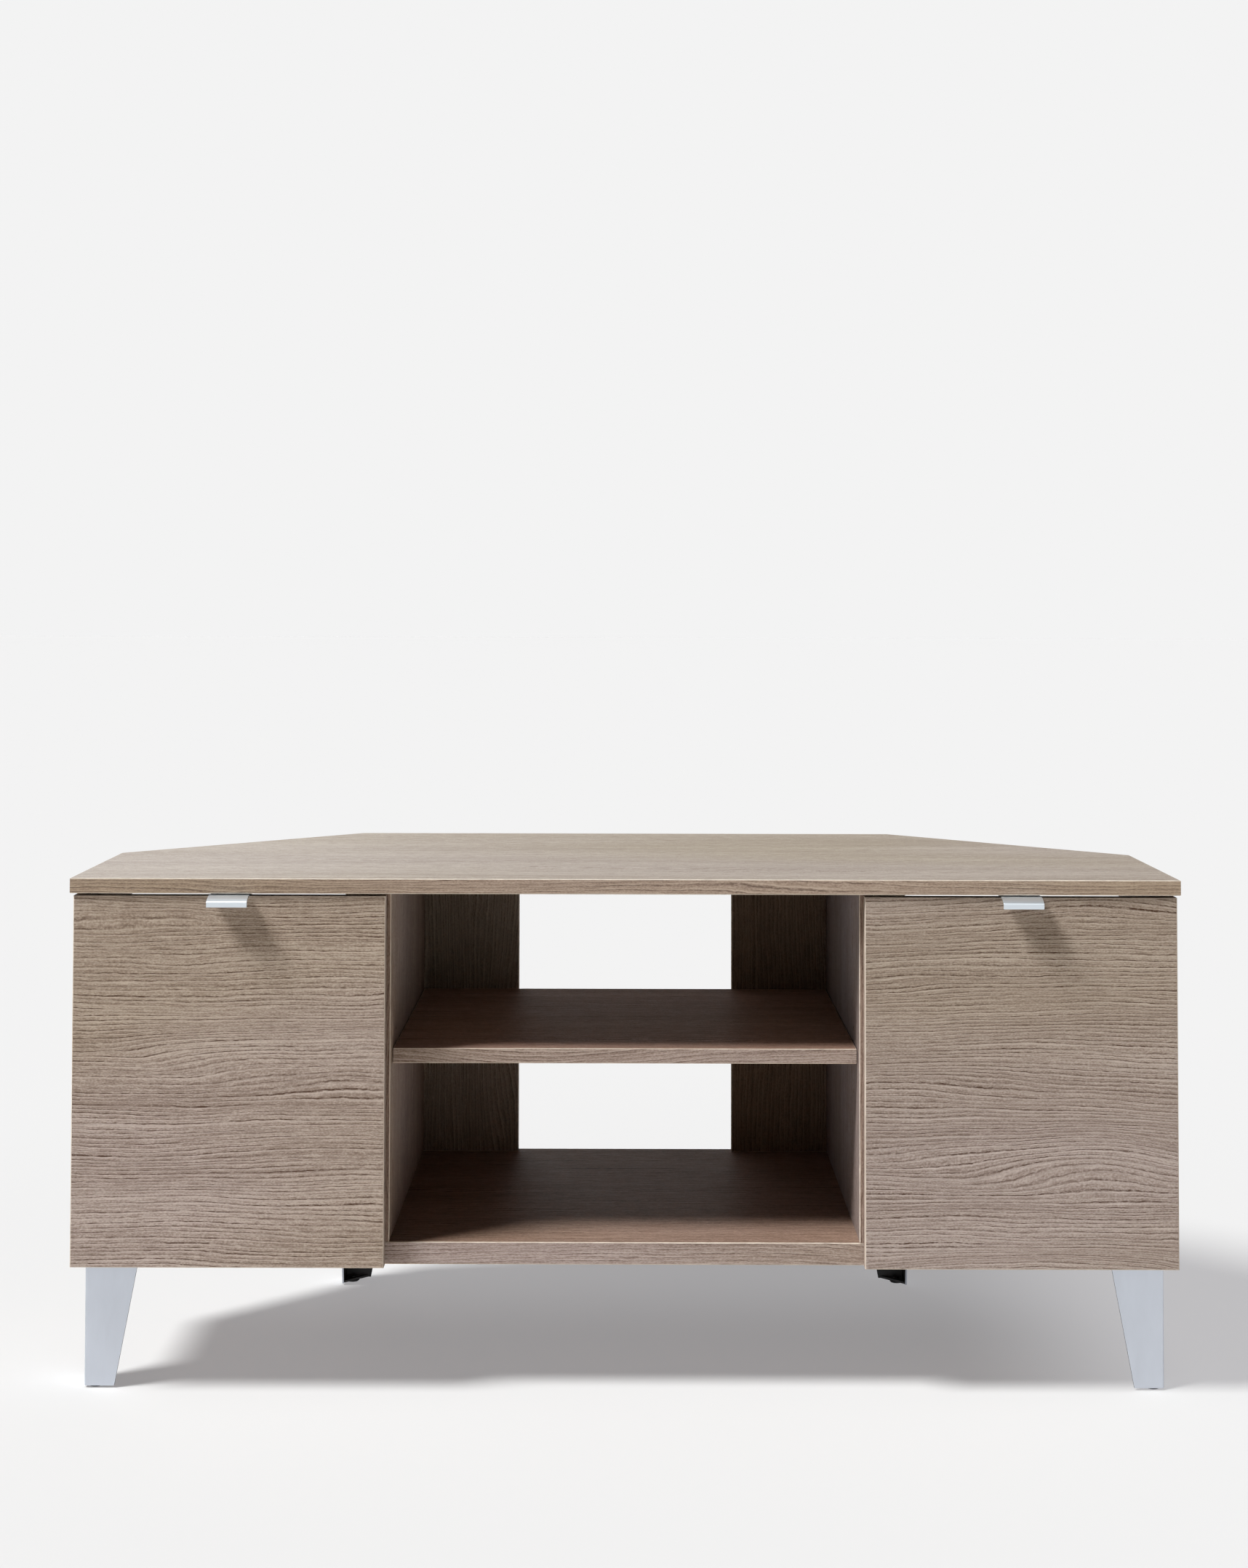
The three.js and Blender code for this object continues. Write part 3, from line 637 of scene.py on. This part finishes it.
for side in sides:
    node = f"{side}_pull"
    low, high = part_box(node)
    mesh = makePullMesh(low.x, high.x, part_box(f"{side}_door"), pull)
    piece = finishPiece(camel(node) + "Strip", mesh, bodyOf(node), [node], ["pullMetal"])
    easeEdges(piece, pull["edge"])
print("pulls: 2 folded strips")


# Fixings that repeat are made by Geometry Nodes, one copy at each point, facing its own way
def startTree(name, sizes):
    tree = bpy.data.node_groups.new(name, "GeometryNodeTree")
    tree.interface.new_socket(name="Geometry", in_out="INPUT", socket_type="NodeSocketGeometry")
    tree.interface.new_socket(name="Finish", in_out="INPUT", socket_type="NodeSocketMaterial")
    for size in sizes:
        tree.interface.new_socket(name=size, in_out="INPUT", socket_type="NodeSocketFloat")
    tree.interface.new_socket(name="Geometry", in_out="OUTPUT", socket_type="NodeSocketGeometry")
    return tree, add(tree, "NodeGroupInput").outputs


# Ends a tree: copies on the points, turned by their facing attribute, realized, with a material
def endTree(tree, given, parts):
    whole = add(tree, "GeometryNodeJoinGeometry")
    for part in parts:
        tree.links.new(part, whole.inputs[0])
    facing = add(tree, "GeometryNodeInputNamedAttribute", {"Name": "facing"}, data_type="FLOAT_VECTOR")
    turn = add(tree, "FunctionNodeAlignRotationToVector", {"Vector": facing.outputs[0]}, axis="Z")
    copies = add(tree, "GeometryNodeInstanceOnPoints", {
        "Points": given["Geometry"], "Instance": whole.outputs[0], "Rotation": turn.outputs[0]})
    real = add(tree, "GeometryNodeRealizeInstances", {0: copies.outputs[0]})
    painted = add(tree, "GeometryNodeSetMaterial", {
        "Geometry": real.outputs[0], "Material": given["Finish"]})
    add(tree, "NodeGroupOutput", {0: painted.outputs[0]})


def heightOf(tree):
    place = add(tree, "GeometryNodeInputPosition").outputs[0]
    return place, add(tree, "ShaderNodeSeparateXYZ", {0: place}).outputs[2]


# How far a point is from the axis, as a share of the radius
def axisShare(tree, place, radius):
    flat = vectorCalc(tree, "MULTIPLY", place, (1, 1, 0))
    return calc(tree, "DIVIDE", vectorCalc(tree, "LENGTH", flat), radius)


def moveBy(tree, mesh, offset):
    return add(tree, "GeometryNodeSetPosition", {"Geometry": mesh, "Offset": offset}).outputs[0]


def drum(tree, radius, depth, around=32, sideRows=1, fillRings=1):
    return add(tree, "GeometryNodeMeshCylinder", {
        "Vertices": around, "Side Segments": sideRows, "Fill Segments": fillRings,
        "Radius": radius, "Depth": depth}, fill_type="TRIANGLE_FAN").outputs["Mesh"]


# The offset that hangs a centred length under zero
def below(tree, length):
    return combine(tree, 0.0, 0.0, calc(tree, "MULTIPLY", length, -0.5))


def block(tree, x, y, z):
    return add(tree, "GeometryNodeMeshCube", {"Size": combine(tree, x, y, z)}).outputs["Mesh"]


# How late a crown falls away to its rim, and where and how far an end draws in, as shares
crown = {"screw": 3.0, "cap": 2.4, "capFall": 0.7}
drawnIn = {"pinFrom": 0.84, "pinBy": 0.1, "discBy": 0.16, "discRange": (-0.5, 0.1)}


# A pan head with a cross recess on a shank; the head faces up and its underside is at zero
def makeScrewTree():
    tree, given = startTree("panScrews", [
        "Head Radius", "Head Rise", "Shank Radius", "Shank Length", "Recess Depth", "Recess Width",
        "Recess Span"])
    rise = given["Head Rise"]
    halfRise = calc(tree, "MULTIPLY", rise, 0.5)
    head = drum(tree, given["Head Radius"], rise, around=36, fillRings=7)
    place, height = heightOf(tree)
    share = axisShare(tree, place, given["Head Radius"])
    fall = calc(tree, "MULTIPLY", calc(tree, "POWER", share, crown["screw"]), halfRise)
    fall = calc(tree, "MULTIPLY", fall, calc(tree, "GREATER_THAN", height, 0.0))
    head = moveBy(tree, head, combine(tree, 0.0, 0.0, calc(tree, "SUBTRACT", halfRise, fall)))
    deep = calc(tree, "MULTIPLY", given["Recess Depth"], 2.0)
    cutters = add(tree, "GeometryNodeJoinGeometry")
    for x, y in (("Recess Span", "Recess Width"), ("Recess Width", "Recess Span")):
        arm = block(tree, given[x], given[y], deep)
        tree.links.new(moveBy(tree, arm, combine(tree, 0.0, 0.0, rise)), cutters.inputs[0])
    cross = add(tree, "GeometryNodeMeshBoolean", operation="DIFFERENCE", solver="EXACT")
    cross.inputs["Self Intersection"].default_value = True
    tree.links.new(head, cross.inputs["Mesh 1"])
    tree.links.new(cutters.outputs[0], cross.inputs["Mesh 2"])
    shank = drum(tree, given["Shank Radius"], given["Shank Length"], around=20)
    shank = moveBy(tree, shank, below(tree, given["Shank Length"]))
    endTree(tree, given, [cross.outputs["Mesh"], shank])
    return tree


# A shelf pin: a wide drum that faces out of the board, with softened ends, and a shank behind it
def makePinTree():
    tree, given = startTree("shelfPins", ["Head Radius", "Head Length", "Shank Radius", "Shank Length"])
    head = drum(tree, given["Head Radius"], given["Head Length"], sideRows=14, fillRings=3)
    place, height = heightOf(tree)
    half = calc(tree, "MULTIPLY", given["Head Length"], 0.5)
    nearEnd = calc(tree, "DIVIDE", calc(tree, "ABSOLUTE", height), half)
    narrow = remap(tree, nearEnd, drawnIn["pinFrom"], 1.0, 0.0, -drawnIn["pinBy"], smooth=True)
    inward = vectorCalc(tree, "MULTIPLY", place, combine(tree, narrow, narrow, 0.0))
    head = moveBy(tree, head, vectorCalc(tree, "ADD", inward, combine(tree, 0.0, 0.0, half)))
    shank = drum(tree, given["Shank Radius"], given["Shank Length"], around=24)
    shank = moveBy(tree, shank, below(tree, given["Shank Length"]))
    endTree(tree, given, [head, shank])
    return tree


# A glide: a disc with a rounded foot, a stem through the sole, and a domed cap above it
def makeGlideTree():
    tree, given = startTree("footGlides", [
        "Disc Radius", "Disc Height", "Stem Radius", "Stem Lift",
        "Cap Radius", "Cap Base", "Cap Rise"])
    discHeight = given["Disc Height"]
    disc = drum(tree, given["Disc Radius"], discHeight, around=48, sideRows=6, fillRings=3)
    place, height = heightOf(tree)
    narrow = calc(tree, "DIVIDE", height, discHeight)
    narrow = remap(tree, narrow, *drawnIn["discRange"], -drawnIn["discBy"], 0.0, smooth=True)
    inward = vectorCalc(tree, "MULTIPLY", place, combine(tree, narrow, narrow, 0.0))
    lift = combine(tree, 0.0, 0.0, calc(tree, "MULTIPLY", discHeight, 0.5))
    disc = moveBy(tree, disc, vectorCalc(tree, "ADD", inward, lift))
    stem = drum(tree, given["Stem Radius"], given["Cap Base"], around=20)
    lift = calc(tree, "MULTIPLY_ADD", given["Cap Base"], 0.5, given["Stem Lift"])
    stem = moveBy(tree, stem, combine(tree, 0.0, 0.0, lift))
    cap = drum(tree, given["Cap Radius"], given["Cap Rise"], around=32, sideRows=2, fillRings=6)
    place, height = heightOf(tree)
    share = axisShare(tree, place, given["Cap Radius"])
    fall = calc(tree, "POWER", share, crown["cap"])
    fall = calc(tree, "MULTIPLY", fall, calc(tree, "GREATER_THAN", height, 0.0))
    fall = calc(tree, "MULTIPLY", fall, calc(tree, "MULTIPLY", given["Cap Rise"], crown["capFall"]))
    middle = calc(tree, "MULTIPLY_ADD", given["Cap Rise"], 0.5, given["Cap Base"])
    cap = moveBy(tree, cap, combine(tree, 0.0, 0.0, calc(tree, "SUBTRACT", middle, fall)))
    endTree(tree, given, [disc, stem, cap])
    return tree


# Runs a tree on a set of points and keeps the result as a plain mesh
def grow(tree, points, facings, finish, sizes):
    seeds = bpy.data.meshes.new("seeds")
    seeds.from_pydata(points, [], [])
    facing = seeds.attributes.new("facing", "FLOAT_VECTOR", "POINT")
    for index, direction in enumerate(facings):
        facing.data[index].vector = direction
    carrier = bpy.data.objects.new("carrier", seeds)
    bpy.context.scene.collection.objects.link(carrier)
    modifier = carrier.modifiers.new("grow", "NODES")
    modifier.node_group = tree
    settings = dict(sizes, Finish=materials[finish])
    for item in tree.interface.items_tree:
        if item.in_out == "INPUT" and item.name in settings:
            modifier[item.identifier] = settings[item.name]
    evaluated = carrier.evaluated_get(bpy.context.evaluated_depsgraph_get())
    mesh = bpy.data.meshes.new_from_object(evaluated)
    bpy.data.objects.remove(carrier)
    bpy.data.meshes.remove(seeds)
    return mesh


legScrew = {
    "Head Radius": 4.0 * mm, "Head Rise": 2.0 * mm, "Shank Radius": 1.9 * mm, "Shank Length": 15.9 * mm,
    "Recess Depth": 1.1 * mm, "Recess Width": 1.05 * mm, "Recess Span": 4.6 * mm,
}
pullScrew = {
    "Head Radius": 2.8 * mm, "Head Rise": 1.3 * mm, "Shank Radius": 1.4 * mm, "Shank Length": 10.9 * mm,
    "Recess Depth": 0.8 * mm, "Recess Width": 0.8 * mm, "Recess Span": 3.4 * mm,
}
shelfPin = {
    "Head Radius": 3.5 * mm, "Head Length": 7.8 * mm, "Shank Radius": 2.35 * mm, "Shank Length": 8.9 * mm,
}
footGlide = {
    "Disc Radius": 7.5 * mm, "Disc Height": 1.8 * mm, "Stem Radius": 2.0 * mm, "Stem Lift": 0.235 * mm,
    "Cap Radius": 3.4 * mm, "Cap Base": 4.7 * mm, "Cap Rise": 1.6 * mm,
}


def boxOf(node):
    low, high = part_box(node)
    return low, (low + high) / 2, high


screwTree = makeScrewTree()
legScrewNodes = [node for node in nodes if "_leg_" in node and node.endswith("_screw")]
points = []
for node in legScrewNodes:
    low, middle, _ = boxOf(node)
    points.append((middle.x, middle.y, low.z + legScrew["Head Rise"]))
mesh = grow(screwTree, points, [(0, 0, -1)] * len(points), "nickelPlate", legScrew)
finishPiece("legScrews", mesh, bodyOf(legScrewNodes[0]), legScrewNodes)
for side in sides:
    stands = [node for node in nodes if node.startswith(f"{side}_pull_")]
    points = []
    for node in stands:
        _, middle, high = boxOf(node)
        points.append((middle.x, high.y - pullScrew["Head Rise"], middle.z))
    mesh = grow(screwTree, points, [(0, 1, 0)] * len(points), "nickelPlate", pullScrew)
    finishPiece(f"{side}PullScrews", mesh, f"{side}_door", stands)

pinNodes = [node for node in nodes if node.endswith("_shelf_pin")]
points, facings = [], []
for node in pinNodes:
    low, middle, high = boxOf(node)
    outward = 1 if middle.x > 0 else -1
    inner = low.x if outward > 0 else high.x
    points.append((inner + outward * shelfPin["Head Length"], middle.y, middle.z))
    facings.append((-outward, 0, 0))
mesh = grow(makePinTree(), points, facings, "nickelPlate", shelfPin)
finishPiece("shelfPins", mesh, bodyOf(pinNodes[0]), pinNodes)

glideNodes = [node for node in nodes if node.endswith("_glide")]
points = []
for node in glideNodes:
    low, middle, _ = boxOf(node)
    points.append((middle.x, middle.y, low.z))
mesh = grow(makeGlideTree(), points, [(0, 0, 1)] * len(points), "blackPlastic", footGlide)
finishPiece("footGlides", mesh, bodyOf(glideNodes[0]), glideNodes)
print("fixings:", len(legScrewNodes), "leg screws, 4 pull screws,", len(pinNodes), "pins, 4 glides")

# Hinges: the stamped parts keep their CAD shape and get pressed, eased edges
hinge = {
    "weld": 0.002 * mm,
    "flat": math.radians(1),
    "edge": {"cup": 0.2 * mm, "arm": 0.25 * mm, "link": 0.3 * mm, "plate": 0.3 * mm},
}


def makeSoftCopy(node, values):
    work = bmesh.new()
    work.from_mesh(nodes[node].data)
    bmesh.ops.remove_doubles(work, verts=work.verts, dist=values["weld"])
    bmesh.ops.dissolve_limit(work, angle_limit=values["flat"], verts=work.verts, edges=work.edges)
    mesh = bpy.data.meshes.new("softCopy")
    work.to_mesh(mesh)
    work.free()
    return mesh


hingeNodes = [node for node in nodes if "_hinge_" in node]
for node in hingeNodes:
    kind = node.split("_")[-1]
    mesh = makeSoftCopy(node, hinge)
    name = camel(node) + "Pressed"
    piece = finishPiece(name, mesh, bodyOf(node), [node], ["nickelPlate"])
    easeEdges(piece, hinge["edge"][kind])
print("hinges:", len(hingeNodes), "pressed parts")

# Studio: a pale floor that meets a background of the same colour
studio = {
    "background": rgb(243, 243, 243),
    "floorLift": 0.29,
    "openLift": 0.52,
    "backLift": 0.36,
    "liftColour": (0.985, 0.975, 1.0, 1.0),
    "openFrom": 0.32,
    "openTo": 0.60,
    "backFrom": -0.05,
    "backTo": 0.22,
    "farLight": 1.235,  # what reaches the lit floor far off
    "nearLight": 1.28,  # and near the boards, which throw some light back
    "nearRange": (0.55, 1.6),
    "floorBounce": (0.74, 0.69, 0.64, 1.0),
    "floorHalf": 60.0,
    "keyFrom": (-0.66, -0.30, 1.0),
    "keyStrength": 4.7,
    "keyAngle": 17.0,
    "rimFrom": (-1.1, 2.6, 1.0),
    "rimAim": (-0.5, 0.0, 0.6),
    "rimSize": 1.2,
    "rimSpread": 50.0,
    "rimPower": 0.35,
    "domeFrom": (-0.45, -0.40, 0.80),
    "domeBase": 0.005,
    "domeLobe": 0.06,
    "domePower": 3.0,
    "domeColour": (1.0, 0.93, 0.87, 1.0),
    "brightSide": -0.20,
    "dimSide": 0.20,
    "brightShine": 1.25,
    "dimShine": 0.34,
    "ceilingFrom": 0.3,
    "ceilingTo": 0.75,
    "ceilingShine": 0.7,
    "backFacing": (-0.2, 0.3),
}


# One where the camera, a reflection or a view through glass meets it directly
def seenDirectly(tree):
    path = add(tree, "ShaderNodeLightPath").outputs
    seen = calc(tree, "MAXIMUM", path["Is Camera Ray"], path["Is Glossy Ray"])
    return calc(tree, "MAXIMUM", seen, path["Is Transmission Ray"])


def makeFloor(values):
    half = values["floorHalf"]
    mesh = bpy.data.meshes.new("floorMesh")
    corners = [(-half, -half, 0), (half, -half, 0), (half, half, 0), (-half, half, 0)]
    mesh.from_pydata(corners, [], [(0, 1, 2, 3)])
    floor = bpy.data.objects.new("studioFloor", mesh)
    bpy.context.scene.collection.objects.link(floor)
    material, tree, output = startMaterial("paleFloor")
    seen = seenDirectly(tree)

    # Shadow keeps a lift that grows to the back and on the open side; the lit floor stays even
    place = add(tree, "ShaderNodeTexCoord").outputs["Object"]
    across, depth, _ = add(tree, "ShaderNodeSeparateXYZ", {0: place}).outputs
    behind = remap(tree, depth, values["backFrom"], values["backTo"], smooth=True)
    beside = remap(tree, across, values["openFrom"], values["openTo"], smooth=True)
    lift = remap(tree, behind, 0.0, 1.0, values["floorLift"], values["backLift"])
    lift = add(tree, "ShaderNodeMix", {0: beside, 2: lift, 3: values["openLift"]}).outputs[0]
    lifted = vectorCalc(tree, "MULTIPLY", combine(tree, lift, lift, lift), values["liftColour"][:3])
    rest = vectorCalc(tree, "SUBTRACT", values["background"][:3], lifted)
    away = vectorCalc(tree, "LENGTH", place)
    light = remap(tree, away, *values["nearRange"], values["nearLight"], values["farLight"], smooth=True)
    shown = vectorCalc(tree, "DIVIDE", rest, combine(tree, light, light, light))
    colour = mixColours(tree, seen, values["floorBounce"], shown)
    plain = add(tree, "ShaderNodeBsdfDiffuse", {"Color": colour})
    glow = add(tree, "ShaderNodeEmission", {
        "Color": values["liftColour"], "Strength": calc(tree, "MULTIPLY", seen, lift)})
    both = add(tree, "ShaderNodeAddShader", {0: plain.outputs[0], 1: glow.outputs[0]})
    tree.links.new(both.outputs[0], output.inputs[0])
    mesh.materials.append(material)


def makeWorld(values):
    world = bpy.data.worlds.new("studio")
    bpy.context.scene.world = world
    world.use_nodes = True
    tree = world.node_tree
    tree.nodes.clear()
    direction = add(tree, "ShaderNodeTexCoord").outputs["Generated"]
    towards = Vector(values["domeFrom"]).normalized()
    lobe = calc(tree, "MAXIMUM", vectorCalc(tree, "DOT_PRODUCT", direction, towards), 0.0)
    lobe = calc(tree, "POWER", lobe, values["domePower"])
    strength = calc(tree, "MULTIPLY_ADD", lobe, values["domeLobe"], values["domeBase"])
    dome = add(tree, "ShaderNodeBackground", {"Color": values["domeColour"], "Strength": strength})

    # Reflections meet a backdrop that is brighter on the key light's side and dimmer overhead,
    # but plain towards the front
    sideways, backward, upward = add(tree, "ShaderNodeSeparateXYZ", {0: direction}).outputs
    shine = remap(tree, sideways, values["brightSide"], values["dimSide"],
                  values["brightShine"], values["dimShine"])
    ceiling = remap(tree, upward, values["ceilingFrom"], values["ceilingTo"], 1.0, values["ceilingShine"])
    shine = calc(tree, "MULTIPLY", shine, ceiling)
    behind = remap(tree, backward, *values["backFacing"])
    shine = add(tree, "ShaderNodeMix", {0: behind, 2: 1.0, 3: shine}).outputs[0]
    reflected = add(tree, "ShaderNodeLightPath").outputs["Is Glossy Ray"]
    strength = add(tree, "ShaderNodeMix", {0: reflected, 2: 1.0, 3: shine}).outputs[0]
    plain = add(tree, "ShaderNodeBackground", {"Color": values["background"], "Strength": strength})
    seen = seenDirectly(tree)
    mixed = add(tree, "ShaderNodeMixShader", {0: seen, 1: dome.outputs[0], 2: plain.outputs[0]})
    add(tree, "ShaderNodeOutputWorld", {0: mixed.outputs[0]})


def addLamp(name, kind, spot, aim, strength, **settings):
    lamp = bpy.data.lights.new(name, kind)
    lamp.energy = strength
    for key, value in settings.items():
        setattr(lamp, key, value)
    holder = bpy.data.objects.new(name, lamp)
    bpy.context.scene.collection.objects.link(holder)
    holder.location = spot
    holder.rotation_euler = (Vector(aim) - Vector(spot)).to_track_quat("-Z", "Y").to_euler()
    return holder


def makeLamps(values):
    addLamp("keyLight", "SUN", values["keyFrom"], (0, 0, 0), values["keyStrength"],
            angle=math.radians(values["keyAngle"]))
    rim = addLamp("rimLight", "AREA", values["rimFrom"], values["rimAim"], values["rimPower"],
                  shape="DISK", size=values["rimSize"], spread=math.radians(values["rimSpread"]))
    rim.visible_camera = False


# Camera: where the photograph was taken from, with its frame in pixels
photo = {"height": 2156, "focalPixels": 3325.3, "middleRow": 712.3, "sensor": 36.0}
viewpoint = {
    "across": 1.4 * mm, "beforeTop": 2405.9 * mm, "height": 777.1 * mm,
    "yaw": -0.0014, "pitch": 0.0369, "roll": 0.0022, "clip": (0.05, 500),
}


def makeCamera(lens, values):
    forward = Vector((
        math.sin(values["yaw"]) * math.cos(values["pitch"]),
        math.cos(values["yaw"]) * math.cos(values["pitch"]),
        math.sin(values["pitch"]),
    ))
    level = Vector((math.cos(values["yaw"]), -math.sin(values["yaw"]), 0))
    upright = level.cross(forward)
    right = math.cos(values["roll"]) * level + math.sin(values["roll"]) * upright
    up = right.cross(forward)
    data = bpy.data.cameras.new("photoCamera")
    data.sensor_width = lens["sensor"]
    data.lens = lens["focalPixels"] / lens["height"] * lens["sensor"]
    data.shift_y = lens["middleRow"] / lens["height"] - 0.5
    data.clip_start, data.clip_end = values["clip"]
    camera = bpy.data.objects.new("photoCamera", data)
    bpy.context.scene.collection.objects.link(camera)
    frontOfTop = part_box("top_panel")[0].y
    turned = Matrix((right, up, -forward)).transposed().to_4x4()
    spot = Vector((values["across"], frontOfTop - values["beforeTop"], values["height"]))
    camera.matrix_world = Matrix.Translation(spot) @ turned
    bpy.context.scene.camera = camera


makeFloor(studio)
makeWorld(studio)
makeLamps(studio)
makeCamera(photo, viewpoint)
bpy.context.scene.view_settings.view_transform = "Standard"
print("studio: floor, dome, key light and camera")
